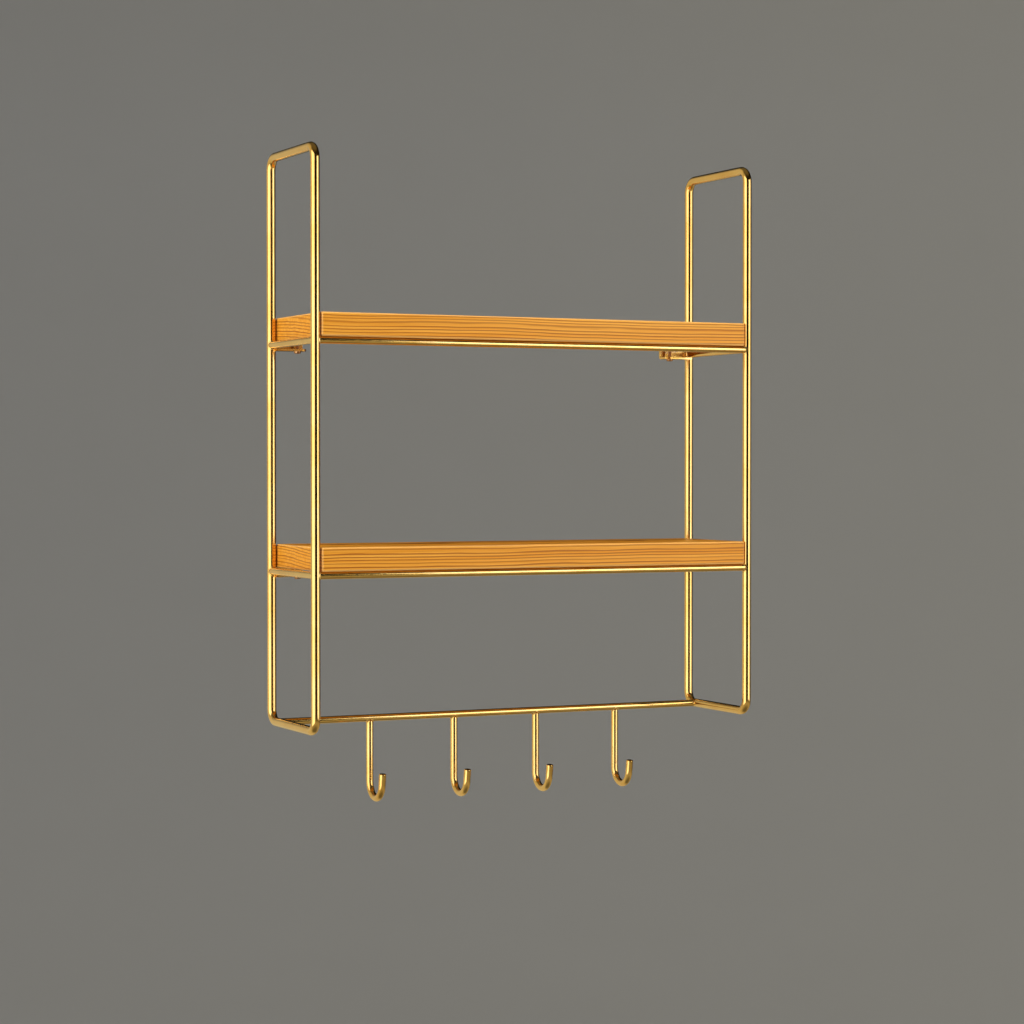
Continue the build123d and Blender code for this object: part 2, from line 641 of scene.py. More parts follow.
def signed_volume(points: np.ndarray, quads: np.ndarray, fans: np.ndarray) -> float:
    """Volume inside the faces, which is negative if they point inwards.

    It is the sum of a sixth of the box product of each triangle's corners.

    Args:
        points: the corners' places.
        quads: four-sided faces.
        fans: three-sided faces.

    Returns:
        The volume with its sign.
    """
    triangles = np.concatenate([quads[:, [0, 1, 2]], quads[:, [0, 2, 3]], fans])
    a, b, c = (points[triangles[:, i]] for i in range(3))
    return float(np.einsum("ij,ij->", a, np.cross(b, c)) / 6)


def facing_out(shell: Shell) -> Shell:
    """Turn a shell's faces outwards, which may mean that its rings run the other way.

    Args:
        shell: a closed surface.

    Returns:
        The same surface with its faces outwards.
    """
    if signed_volume(shell.points(), *shell.faces()) > 0:
        return shell
    marks = {name: mark[:, ::-1] for name, mark in shell.marks.items()}
    return Shell(shell.rings[:, ::-1], shell.poles, shell.along, marks)


def build_piece(
    name: str, shells: Sequence[Shell], material: bpy.types.Material
) -> bpy.types.Object:
    """Make one object of closed shells, smooth, mapped and facing outwards.

    Args:
        name: the piece's name.
        shells: its closed surfaces.
        material: its finish.

    Returns:
        The new object, at the origin.
    """
    points, faces, corners = [], [], []
    shells = [facing_out(shell) for shell in shells]
    base = 0
    for shell in shells:
        flat = shell.points()
        quads, fans = shell.faces()
        points.append(flat)
        faces += (quads + base).tolist() + (fans + base).tolist()
        corners.append(shell.bar_map())
        base += len(flat)
    mesh = bpy.data.meshes.new(name)
    mesh.from_pydata(np.concatenate(points).tolist(), [], faces)
    mesh.polygons.foreach_set("use_smooth", np.ones(len(faces), bool))
    mesh.uv_layers.new(name="bar").data.foreach_set("uv", np.concatenate(corners).ravel())
    for mark in shells[0].marks:
        held = [
            np.append(shell.marks[mark].ravel(), [shell.marks[mark][0, 0], shell.marks[mark][-1, 0]])
            for shell in shells
        ]
        layer = mesh.attributes.new(mark, "FLOAT", "POINT")
        layer.data.foreach_set("value", np.concatenate(held).astype(np.float32))
    mesh.materials.append(material)
    mesh.validate()
    piece = bpy.data.objects.new(name, mesh)
    bpy.context.scene.collection.objects.link(piece)
    return piece


def install(piece: bpy.types.Object, slot: Slot, *nodes: str) -> None:
    """Tie a new piece to the frame and report it.

    Args:
        piece: the finished piece.
        slot: the record's slot named for the piece; not used.
        nodes: CAD nodes that it stands for.
    """
    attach(piece, ROOT)
    if nodes:
        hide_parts(*nodes)
    log.info("%s: %d faces, stands for %s", piece.name, len(piece.data.polygons), nodes or "nothing")


# ---------------------------------------------------------------------------
# Lines of bent bar
# ---------------------------------------------------------------------------


@dataclass(frozen=True)
class Leg:
    """One stretch of a bent bar: straight, or a bend of one radius.

    Attributes:
        length: along the bar's axis.
        turn: the change of heading over the leg, in radians, positive towards the line's left.
        steps: rings on the leg.
    """

    length: float
    turn: float = 0.0
    steps: int = 2


def chord(length: np.ndarray, heading: np.ndarray, curvature: np.ndarray) -> np.ndarray:
    """From the start of an arc to a point on it.

    The chord of an arc is its length times sin(a)/a, where a is half the turn, and it points
    along the heading plus a. A straight run is the case a = 0.

    Args:
        length: along the arc.
        heading: at the arc's start, in radians.
        curvature: one over the arc's radius, with the turn's sign.

    Returns:
        The chords, ahead and to the left.
    """
    half = curvature * length / 2
    size = length * np.sinc(half / np.pi)
    return np.stack([size * np.cos(heading + half), size * np.sin(heading + half)], axis=-1)


@dataclass(frozen=True)
class BarLine:
    """The axis of a bar that is bent in one plane.

    Attributes:
        start: where it starts.
        ahead: unit vector that it sets off along.
        left: unit vector in its plane that a positive turn bends to.
        legs: its stretches, in order.
    """

    start: np.ndarray
    ahead: np.ndarray
    left: np.ndarray
    legs: tuple[Leg, ...]

    @property
    def length(self) -> float:
        """Whole length along the axis."""
        return sum(leg.length for leg in self.legs)

    def stations(self, closed: bool) -> np.ndarray:
        """Distances along the line at which its rings stand.

        Args:
            closed: whether the line ends where it starts, so that its end needs no ring.

        Returns:
            The distances.
        """
        edges = np.cumsum([0.0] + [leg.length for leg in self.legs])
        runs = [
            np.linspace(low, high, leg.steps, endpoint=False)
            for low, high, leg in zip(edges[:-1], edges[1:], self.legs)
        ]
        return np.concatenate(runs if closed else runs + [edges[-1:]])

    def at(self, distance: np.ndarray) -> tuple[np.ndarray, np.ndarray, np.ndarray]:
        """Place points on the line.

        Each leg starts where the chords of the legs before it end, so a point is that start
        plus the chord of its own part of the leg.

        Args:
            distance: distances along the line.

        Returns:
            The points, the unit vectors along the line there, and its curvature there.
        """
        lengths = np.array([leg.length for leg in self.legs])
        turns = np.array([leg.turn for leg in self.legs])
        bends = turns / lengths
        headings = np.concatenate([[0.0], np.cumsum(turns)])[:-1]
        starts = np.concatenate([[[0.0, 0.0]], np.cumsum(chord(lengths, headings, bends), axis=0)])
        edges = np.concatenate([[0.0], np.cumsum(lengths)])
        leg = np.clip(np.searchsorted(edges, distance, side="right") - 1, 0, len(lengths) - 1)
        into = distance - edges[leg]
        flat = starts[leg] + chord(into, headings[leg], bends[leg])
        heading = headings[leg] + bends[leg] * into
        basis = np.stack([self.ahead, self.left])
        along = np.stack([np.cos(heading), np.sin(heading)], axis=-1) @ basis
        return self.start + flat @ basis, along, np.abs(bends[leg])


def round_rectangle(
    corner: np.ndarray, ahead: np.ndarray, left: np.ndarray, size: tuple[float, float],
    bend: float, steps: tuple[int, int, int],
) -> BarLine:
    """A closed line of four runs and four quarter bends.

    Args:
        corner: the sharp corner that its first run would start from.
        ahead: unit vector along the first run.
        left: unit vector that it turns to.
        size: outer lengths along ahead and along left.
        bend: radius of the bends.
        steps: rings on a run along ahead, on a bend, and on a run along left.

    Returns:
        The line, which starts at the end of the last bend.
    """
    quarter = Leg(bend * math.pi / 2, math.pi / 2, steps[1])
    first = Leg(size[0] - 2 * bend, 0.0, steps[0])
    second = Leg(size[1] - 2 * bend, 0.0, steps[2])
    return BarLine(corner + bend * ahead, ahead, left, (first, quarter, second, quarter) * 2)


def ripple(place: np.ndarray, period: float, seed: float) -> np.ndarray:
    """Gentle uneven wave between about -1 and 1.

    It is the mean of three sines whose periods have no common multiple.

    Args:
        place: where it is read.
        period: of the first sine.
        seed: shifts the sines against each other.

    Returns:
        The wave's height at each place.
    """
    turn = math.tau * place / period
    slow = np.sin(0.618 * turn + 2.1 * seed)
    quick = np.sin(1.71 * turn + 3.7 * seed)
    return (np.sin(turn + seed) + slow + quick) / 3


# ---------------------------------------------------------------------------
# Round bar
# ---------------------------------------------------------------------------


@dataclass(frozen=True)
class BarStock:
    """The round bar that the whole frame is made of.

    Attributes:
        radius: of the bar.
        sides: points round a ring.
        thinning: share by which a bend flattens the bar in its own plane.
        cope_land: a coped end stops this far short of the other bar's axis.
        cope_run: length over which the rings turn from square to the cope's shape.
    """

    radius: float
    sides: int = 48
    thinning: float = 0.02
    cope_land: float = 1.5 * MM
    cope_run: float = 7.0 * MM

    def angles(self) -> np.ndarray:
        """Angles of a ring's points."""
        return np.arange(self.sides) * math.tau / self.sides

    def rings(self, line: BarLine, distance: np.ndarray, radius: np.ndarray) -> np.ndarray:
        """Carry the bar's round section along a line.

        A ring's point is the axis point plus the radius times (cos a, sin a) in the two
        directions square to the axis. In a bend the first of the two, which lies in the
        bend's plane, is a little shorter.

        Args:
            line: the bar's axis.
            distance: where the rings stand.
            radius: the bar's radius at each ring.

        Returns:
            The rings' points.
        """
        centre, along, curvature = line.at(distance)
        binormal = np.cross(line.ahead, line.left)
        normal = np.cross(binormal, along)
        flatten = 1 - self.thinning * np.clip(curvature * self.radius * 2, 0, 1)
        angle = self.angles()
        across = (radius * flatten)[:, None] * np.cos(angle)
        up = radius[:, None] * np.sin(angle)
        return centre[:, None] + across[..., None] * normal[:, None] + up[..., None] * binormal

    def cope(self, lateral: np.ndarray, onto: float, mitre: np.ndarray | None = None) -> np.ndarray:
        """How far a coped end stands off the other bar's axis.

        The end lies on the other bar's cylinder, so it stands off by the square root of that
        bar's radius squared less the lateral offset squared, and never by less than the land
        or, on the side where another bar comes in, the mitre.

        Args:
            lateral: offsets across the other bar.
            onto: the other bar's radius.
            mitre: the least that each point may stand off because of a third bar.

        Returns:
            The distance of each point from the other bar's axis.
        """
        reach = np.sqrt(np.maximum(onto**2 - lateral**2, 0.0))
        reach = np.maximum(reach, self.cope_land)
        return reach if mitre is None else np.maximum(reach, mitre)

    def coped_bar(
        self,
        start: np.ndarray,
        end: np.ndarray,
        lateral: np.ndarray,
        mitred: tuple[bool, bool],
        onto: float,
    ) -> Shell:
        """A straight bar between the axes of two bars that it meets square.

        Args:
            start: on the axis of the first bar.
            end: on the axis of the other bar.
            lateral: unit vector square to this bar and to both of the others.
            mitred: whether another bar leaves from the start and from the end along lateral.
            onto: radius of the bars that it meets.

        Returns:
            The bar, with coped ends.
        """
        span = float(np.linalg.norm(end - start))
        along = (end - start) / span
        up = np.cross(along, lateral)
        angle = self.angles()
        aside = self.radius * np.cos(angle)
        rise = self.radius * np.sin(angle)

        def end_rings(mitre: bool) -> np.ndarray:
            """Offsets from the other bar's axis.

            Args:
                mitre: whether this end is mitred.

            Returns:
                The offsets of the closing rings and of the run behind them.
            """
            scaled = CLOSING[:, None] * aside
            limit = np.where(scaled > 0, scaled, 0.0) if mitre else None
            closing = self.cope(scaled, onto, limit)
            share = np.linspace(0, 1, 7)[1:, None]
            square = onto + self.cope_run
            return np.concatenate([closing, closing[-1] * (1 - share) + square * share])

        near, far = end_rings(mitred[0]), span - end_rings(mitred[1])[::-1]
        middle = np.linspace(near[-1, 0], far[0, 0], 12)[1:-1, None] * np.ones(self.sides)
        reach = np.concatenate([near, middle, far])
        scale = np.ones(len(reach))
        scale[: len(CLOSING)] = CLOSING
        scale[-len(CLOSING):] = CLOSING[::-1]
        rings = (
            start
            + reach[..., None] * along
            + (scale[:, None] * aside)[..., None] * lateral
            + (scale[:, None] * rise)[..., None] * up
        )
        poles = (start + onto * along, end - onto * along)
        return Shell(rings, poles, reach.mean(axis=1))


@dataclass(frozen=True)
class WeldStyle:
    """A small smooth fillet of weld, dressed before plating.

    Attributes:
        leg: how far it reaches along each bar.
        thin: share of the leg that is left where the bars' sides run together.
        ripple: share by which the leg comes and goes.
        root: how deep it goes into the joint, as a share of the leg.
        lift: how far it stands over the bars' surfaces at its toes.
        sides: rings round the joint.
        least_reach: share of the other bar's radius that the seam never comes nearer than.
        flush: share of that radius within which the toes lie flush at the open sides.
        joint_wave: period of the ripple round a joint, in radians.
        seam_wave: period of the ripple along a seam.
        seam_size: leg along a seam, as a share of the leg round a joint.
    """

    leg: float = 1.9 * MM
    thin: float = 0.25
    ripple: float = 0.05
    root: float = 0.5
    lift: float = 0.02 * MM
    sides: int = 96
    least_reach: float = 0.12
    flush: float = 0.9
    joint_wave: float = math.tau / 9
    seam_wave: float = 2.4 * MM
    seam_size: float = 0.75

    def section(
        self, on_bar: np.ndarray, seam: np.ndarray, on_post: np.ndarray, root: np.ndarray
    ) -> np.ndarray:
        """Close a fillet's section at each ring.

        The outside is a parabola that leaves both bars along their surfaces, with the seam as
        its control point, and the inside goes through the root.

        Args:
            on_bar: the toes on the joining bar.
            seam: where the two surfaces meet.
            on_post: the toes on the other bar.
            root: the points inside the joint.

        Returns:
            The section's points, ring by ring.
        """
        share = np.linspace(0, 1, 9)[None, :, None]
        outside = (
            (1 - share) ** 2 * on_bar[:, None]
            + 2 * share * (1 - share) * seam[:, None]
            + share**2 * on_post[:, None]
        )
        inner = np.stack([(on_post + root) / 2, root, (on_bar + root) / 2], axis=1)
        return np.concatenate([outside, inner], axis=1)

    def saddle(
        self,
        stock: BarStock,
        onto: float,
        joint: np.ndarray,
        along: np.ndarray,
        lateral: np.ndarray,
        seed: float,
    ) -> Shell:
        """Fillet round the end of a bar that meets another bar square.

        The seam is where the cylinders meet. At the angle a round the joining bar it lies
        r cos a sideways and r sin a along the other bar, and stands off that bar's axis by the
        square root of its radius squared less the sideways part squared. The fillet's leg
        shrinks with |sin a|, because the corner is open at the sides. One toe goes along the
        joining bar, and the other in the other bar's tangent plane, laid back on its surface.

        Args:
            stock: the joining bar.
            onto: radius of the other bar.
            joint: where their axes meet.
            along: unit vector from there along the joining bar.
            lateral: unit vector square to both bars.
            seed: shifts the ripple.

        Returns:
            The fillet.
        """
        angle = np.arange(self.sides) * math.tau / self.sides
        post = np.cross(along, lateral)
        frame_axes = np.stack([along, lateral, post])
        sine, cosine = np.sin(angle), np.cos(angle)
        least = (self.least_reach * onto) ** 2
        reach = np.sqrt(np.maximum(onto**2 - (stock.radius * cosine) ** 2, least))
        seam = np.stack([reach, stock.radius * cosine, stock.radius * sine], axis=-1)
        outward = seam * (1, 1, 0) / np.hypot(reach, stock.radius * cosine)[:, None]
        spoke = np.stack([np.zeros(self.sides), cosine, sine], axis=-1)
        tangent = spoke - (spoke * outward).sum(axis=1, keepdims=True) * outward
        tangent /= np.linalg.norm(tangent, axis=1, keepdims=True)

        wave = 1 + self.ripple * ripple(angle, self.joint_wave, seed)
        leg = self.leg * (self.thin + (1 - self.thin) * np.abs(sine)) * wave
        flush = self.flush * onto * (1 - np.abs(cosine))
        lift = np.minimum(self.lift, flush)[:, None]
        on_bar = seam + leg[:, None] * (1, 0, 0) + lift * spoke
        on_post = seam + leg[:, None] * tangent
        off_axis = np.hypot(on_post[:, 0], on_post[:, 1])
        on_post[:, :2] *= (onto + lift) / off_axis[:, None]
        corner = seam + lift * (outward + spoke) / 2
        root = seam - (self.root * leg)[:, None] * (outward + spoke) / 2
        points = self.section(on_bar, corner, on_post, root) @ frame_axes + joint
        return Shell(points, None, angle * stock.radius)

    def seam(self, line: np.ndarray, first: np.ndarray, second: np.ndarray, seed: float) -> Shell:
        """Fillet along the corner between two surfaces.

        Args:
            line: points along the corner.
            first: unit vectors from the corner along one surface, square to the line.
            second: unit vectors from the corner along the other surface.
            seed: shifts the ripple.

        Returns:
            The fillet, with rounded ends.
        """
        steps = np.linalg.norm(np.diff(line, axis=0), axis=1)
        along = np.concatenate([[0.0], np.cumsum(steps)])
        share = 2 * along / along[-1] - 1
        taper = np.sqrt(np.clip(1 - np.abs(share) ** 6, 0.02, 1))
        wave = 1 + self.ripple * ripple(along, self.seam_wave, seed)
        leg = (self.seam_size * self.leg * taper * wave)[:, None]
        root = line - self.root * leg * (first + second)
        points = self.section(line + leg * first, line, line + leg * second, root)
        return Shell(points, (points[0].mean(axis=0), points[-1].mean(axis=0)), along)


# ---------------------------------------------------------------------------
# Sub-assemblies
# ---------------------------------------------------------------------------


@dataclass(frozen=True)
class ShelfPlan:
    """Sizes and places of the shelf, read from the frame.

    Attributes:
        stock: the round bar of the rails, side rods and hooks.
        loop_stock: the thicker round bar of the side loops.
        post_x: from the middle to the plane of a side loop.
        front_y: axis of the front posts and front rails.
        rear_y: axis of the rear posts.
        bottom_z: axis of the loops' bottom bars and of the hook rail.
        top_z: axis of the loops' top bars.
        hook_y: axis of the hook rail.
        rail_z: axis of the front rail and side rods of each level.
    """

    stock: BarStock
    loop_stock: BarStock
    post_x: float
    front_y: float
    rear_y: float
    bottom_z: float
    top_z: float
    hook_y: float
    rail_z: dict[Level, float]

    @classmethod
    def read(cls) -> "ShelfPlan":
        """Work the plan out from the boxes of the CAD nodes.

        Returns:
            The plan.
        """
        rail_low, rail_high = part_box("hook_rail")
        loop_low, loop_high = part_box("right_side_loop")
        loop_radius = (loop_high.x - loop_low.x) / 2
        levels = {}
        for level in Level:
            low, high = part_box(f"{level.value}_front_rail")
            levels[level] = (low.z + high.z) / 2
        return cls(
            stock=BarStock((rail_high.z - rail_low.z) / 2),
            loop_stock=BarStock(loop_radius),
            post_x=(loop_low.x + loop_high.x) / 2,
            front_y=loop_low.y + loop_radius,
            rear_y=loop_high.y - loop_radius,
            bottom_z=loop_low.z + loop_radius,
            top_z=loop_high.z - loop_radius,
            hook_y=(rail_low.y + rail_high.y) / 2,
            rail_z=levels,
        )

    def point(self, x: float, y: float, z: float) -> np.ndarray:
        """A point as an array."""
        return np.array([x, y, z])


@dataclass(frozen=True)
class SideLoop:
    """One bar bent into a closed upright rectangle, butt-welded in its rear post.

    Attributes:
        plan: the shelf's sizes and places.
        side: which end of the shelf it is.
        bend: radius of its bends, of the axis.
        dressed_dip: how deep the dressed butt weld lies under the bar's surface.
        dressed_width: how far the dressing reaches each way.
        ring_counts: rings on a post, on a bend, and on a top or bottom bar.
    """

    plan: ShelfPlan
    side: Side
    bend: float = 14.0 * MM
    dressed_dip: float = 0.07 * MM
    dressed_width: float = 4.5 * MM
    ring_counts: tuple[int, int, int] = (180, 14, 20)

    def line(self) -> BarLine:
        """Lay out the axis: up the rear post, forward, down the front post and back.

        Returns:
            The closed line.
        """
        plan = self.plan
        corner = plan.point(self.side.value * plan.post_x, plan.rear_y, plan.bottom_z)
        size = (plan.top_z - plan.bottom_z, plan.rear_y - plan.front_y)
        return round_rectangle(corner, Z_AXIS, -Y_AXIS, size, self.bend, self.ring_counts)

    def shell(self) -> Shell:
        """Make the bar's surface.

        The radius dips by a bell curve where the butt weld was ground flush.

        Returns:
            The loop.
        """
        line = self.line()
        distance = line.stations(closed=True)
        weld_at = line.legs[0].length * 0.5
        bell = np.exp(-(((distance - weld_at) / self.dressed_width) ** 2))
        radius = self.plan.loop_stock.radius - self.dressed_dip * bell
        rings = self.plan.loop_stock.rings(line, distance, radius)
        return Shell(rings, None, distance)

    def build(self, finish: bpy.types.Material) -> None:
        """Make the loop."""
        piece = build_piece(f"{self.side.word}_loop_bar", [self.shell()], finish)
        install(piece, Slot.GOLD, f"{self.side.word}_side_loop")


@dataclass(frozen=True)
class BoardCarrier:
    """The front rail and the two side rods under one board, and their welds.

    Attributes:
        plan: the shelf's sizes and places.
        level: the board's level.
        weld: how the joints are welded.
    """

    plan: ShelfPlan
    level: Level
    weld: WeldStyle = WeldStyle()

    def post(self, side: Side, y: float) -> np.ndarray:
        """Where the axes of this level's bars meet a post's axis."""
        return self.plan.point(side.value * self.plan.post_x, y, self.plan.rail_z[self.level])

    def rail(self) -> Shell:
        """Make the front rail, mitred where the side rods come in behind it.

        Returns:
            The rail.
        """
        front = self.plan.front_y
        return self.plan.stock.coped_bar(
            self.post(Side.LEFT, front),
            self.post(Side.RIGHT, front),
            Y_AXIS,
            (True, True),
            self.plan.loop_stock.radius,
        )

    def rod(self, side: Side) -> Shell:
        """Make a side rod, from its front post to its rear post.

        Args:
            side: the end of the shelf.

        Returns:
            The rod.
        """
        inboard = -side.value * X_AXIS
        return self.plan.stock.coped_bar(
            self.post(side, self.plan.front_y),
            self.post(side, self.plan.rear_y),
            inboard,
            (True, False),
            self.plan.loop_stock.radius,
        )

    def welds(self) -> list[Shell]:
        """Make a fillet at each end of the rail and of the rods.

        Returns:
            The six fillets.
        """
        plan, made = self.plan, []
        for side in Side:
            inboard = -side.value * X_AXIS
            ends = (
                (plan.front_y, inboard, Y_AXIS),
                (plan.front_y, Y_AXIS, X_AXIS),
                (plan.rear_y, -Y_AXIS, X_AXIS),
            )
            for count, (y, along, lateral) in enumerate(ends):
                seed = side.value + 2.3 * count
                joint = self.post(side, y)
                made.append(
                    self.weld.saddle(plan.stock, plan.loop_stock.radius, joint, along, lateral, seed)
                )
        return made

    def build(self, finish: bpy.types.Material, weld_finish: bpy.types.Material) -> None:
        """Make the rail, the rods and the welds.

        Args:
            finish: of the bars.
            weld_finish: of the fillets.
        """
        name = self.level.value
        install(build_piece(f"{name}_rail_bar", [self.rail()], finish), Slot.GOLD, f"{name}_front_rail")
        for side in Side:
            rod = build_piece(f"{name}_{side.word}_rod_bar", [self.rod(side)], finish)
            install(rod, Slot.GOLD, f"{name}_{side.word}_side_rod")
        install(build_piece(f"{name}_post_welds", self.welds(), weld_finish), Slot.GOLD)


@dataclass(frozen=True)
class HookRail:
    """The rail near the wall with its J-hooks.

    Attributes:
        plan: the shelf's sizes and places.
        weld: how the joints are welded.
        bend: radius of a hook's bend, of the axis.
        drop: from the rail's axis to the hooks' lowest points.
        tip_rise: from there to the tips.
        flare: how far the tips lean to the front.
        tip_round: radius of the tips' edges.
        ring_counts: rings on a hook's stem, bend and tip.
        names: the hooks, from left to right.
    """

    plan: ShelfPlan
    weld: WeldStyle = WeldStyle()
    bend: float = 18.0 * MM
    drop: float = 92.0 * MM
    tip_rise: float = 33.0 * MM
    flare: float = math.radians(8)
    tip_round: float = 0.9 * MM
    ring_counts: tuple[int, int, int] = (14, 40, 6)
    names: tuple[str, ...] = ("outer_left", "inner_left", "inner_right", "outer_right")

    def rail(self) -> Shell:
        """Make the straight rail between the loops' bottom bars.

        Returns:
            The rail.
        """
        plan = self.plan
        ends = [plan.point(side.value * plan.post_x, plan.hook_y, plan.bottom_z) for side in Side]
        return plan.stock.coped_bar(*ends, Z_AXIS, (False, False), plan.loop_stock.radius)

    def hook_x(self, name: str) -> float:
        """Where a hook hangs, from its CAD node's box."""
        low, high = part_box(f"{name}_hook")
        return (low.x + high.x) / 2

    def hook(self, x: float) -> Shell:
        """A hook's surface: the coped stem, the bend and the flared tip with its eased edge.

        The top rings move from square to the rail's round underside, as on a coped bar. At
        the tip the rings follow a quarter circle inwards and then close on the axis.

        Args:
            x: where the hook hangs.

        Returns:
            The hook.
        """
        plan, stock = self.plan, self.plan.stock
        bend_z = self.drop - stock.radius - self.bend
        turn = math.pi - self.flare
        end_drop = bend_z + self.bend * math.sin(turn)
        tip = (end_drop - (self.drop - self.tip_rise)) / math.cos(self.flare)
        axis = plan.point(x, plan.hook_y, plan.bottom_z)
        stem_rings, bend_rings, tip_rings = self.ring_counts
        legs = (
            Leg(bend_z, 0.0, stem_rings),
            Leg(self.bend * turn, turn, bend_rings),
            Leg(tip - self.tip_round, 0.0, tip_rings),
        )
        line = BarLine(axis, -Z_AXIS, -Y_AXIS, legs)
        distance = line.stations(closed=False)
        distance = distance[distance > stock.radius + stock.cope_run]
        body = stock.rings(line, distance, np.full(len(distance), stock.radius))

        angle = stock.angles()
        inner = np.append(CLOSING, [1.0, 1.0, 1.0])[:, None]
        share = np.array([0.0, 0.0, 0.0, 0.0, 0.3, 0.6, 0.85])[:, None]
        across = inner * stock.radius * np.cos(angle)
        sideways = inner * stock.radius * np.sin(angle)
        coped = stock.cope(across, stock.radius)
        reach = coped * (1 - share) + (stock.radius + stock.cope_run) * share
        binormal = np.cross(line.ahead, line.left)
        normal = np.cross(binormal, line.ahead)
        top = (
            axis
            + reach[..., None] * line.ahead
            + across[..., None] * normal
            + sideways[..., None] * binormal
        )

        centre, along, _ = line.at(np.array([line.length]))
        quarter = np.linspace(0, math.pi / 2, 7)[1:]
        out = np.append(self.tip_round * np.sin(quarter), [self.tip_round] * 2)
        radius = stock.radius - self.tip_round * (1 - np.cos(quarter))
        radius = np.append(radius, [0.6 * stock.radius, 0.3 * stock.radius])
        tip_normal = np.cross(binormal, along[0])
        close = (
            centre[0]
            + out[:, None, None] * along[0]
            + (radius[:, None] * np.cos(angle))[..., None] * tip_normal
            + (radius[:, None] * np.sin(angle))[..., None] * binormal
        )
        rings = np.concatenate([top, body, close])
        along_all = np.concatenate([reach.mean(axis=1), distance, line.length + out])
        poles = (axis + stock.radius * line.ahead, centre[0] + self.tip_round * along[0])
        return Shell(rings, poles, along_all)

    def welds(self) -> tuple[list[Shell], list[Shell]]:
        """Make the fillets at the rail's ends and on top of the hooks.

        Returns:
            The two at the rail's ends, and the four on the hooks.
        """
        plan = self.plan
        ends = [
            self.weld.saddle(
                plan.stock,
                plan.loop_stock.radius,
                plan.point(side.value * plan.post_x, plan.hook_y, plan.bottom_z),
                -side.value * X_AXIS,
                Z_AXIS,
                side.value + 0.4,
            )
            for side in Side
        ]
        tops = [
            self.weld.saddle(
                plan.stock,
                plan.stock.radius,
                plan.point(self.hook_x(name), plan.hook_y, plan.bottom_z),
                -Z_AXIS,
                Y_AXIS,
                1.9 * count,
            )
            for count, name in enumerate(self.names)
        ]
        return ends, tops

    def build(self, finish: bpy.types.Material, weld_finish: bpy.types.Material) -> None:
        """Make the rail, the hooks and the welds.

        Args:
            finish: of the bars.
            weld_finish: of the fillets.
        """
        install(build_piece("hook_rail_bar", [self.rail()], finish), Slot.GOLD, "hook_rail")
        for name in self.names:
            piece = build_piece(f"{name}_hook_bar", [self.hook(self.hook_x(name))], finish)
            install(piece, Slot.GOLD, f"{name}_hook")
        ends, tops = self.welds()
        install(build_piece("hook_rail_welds", ends, weld_finish), Slot.GOLD)
        install(build_piece("hook_welds", tops, weld_finish), Slot.GOLD)


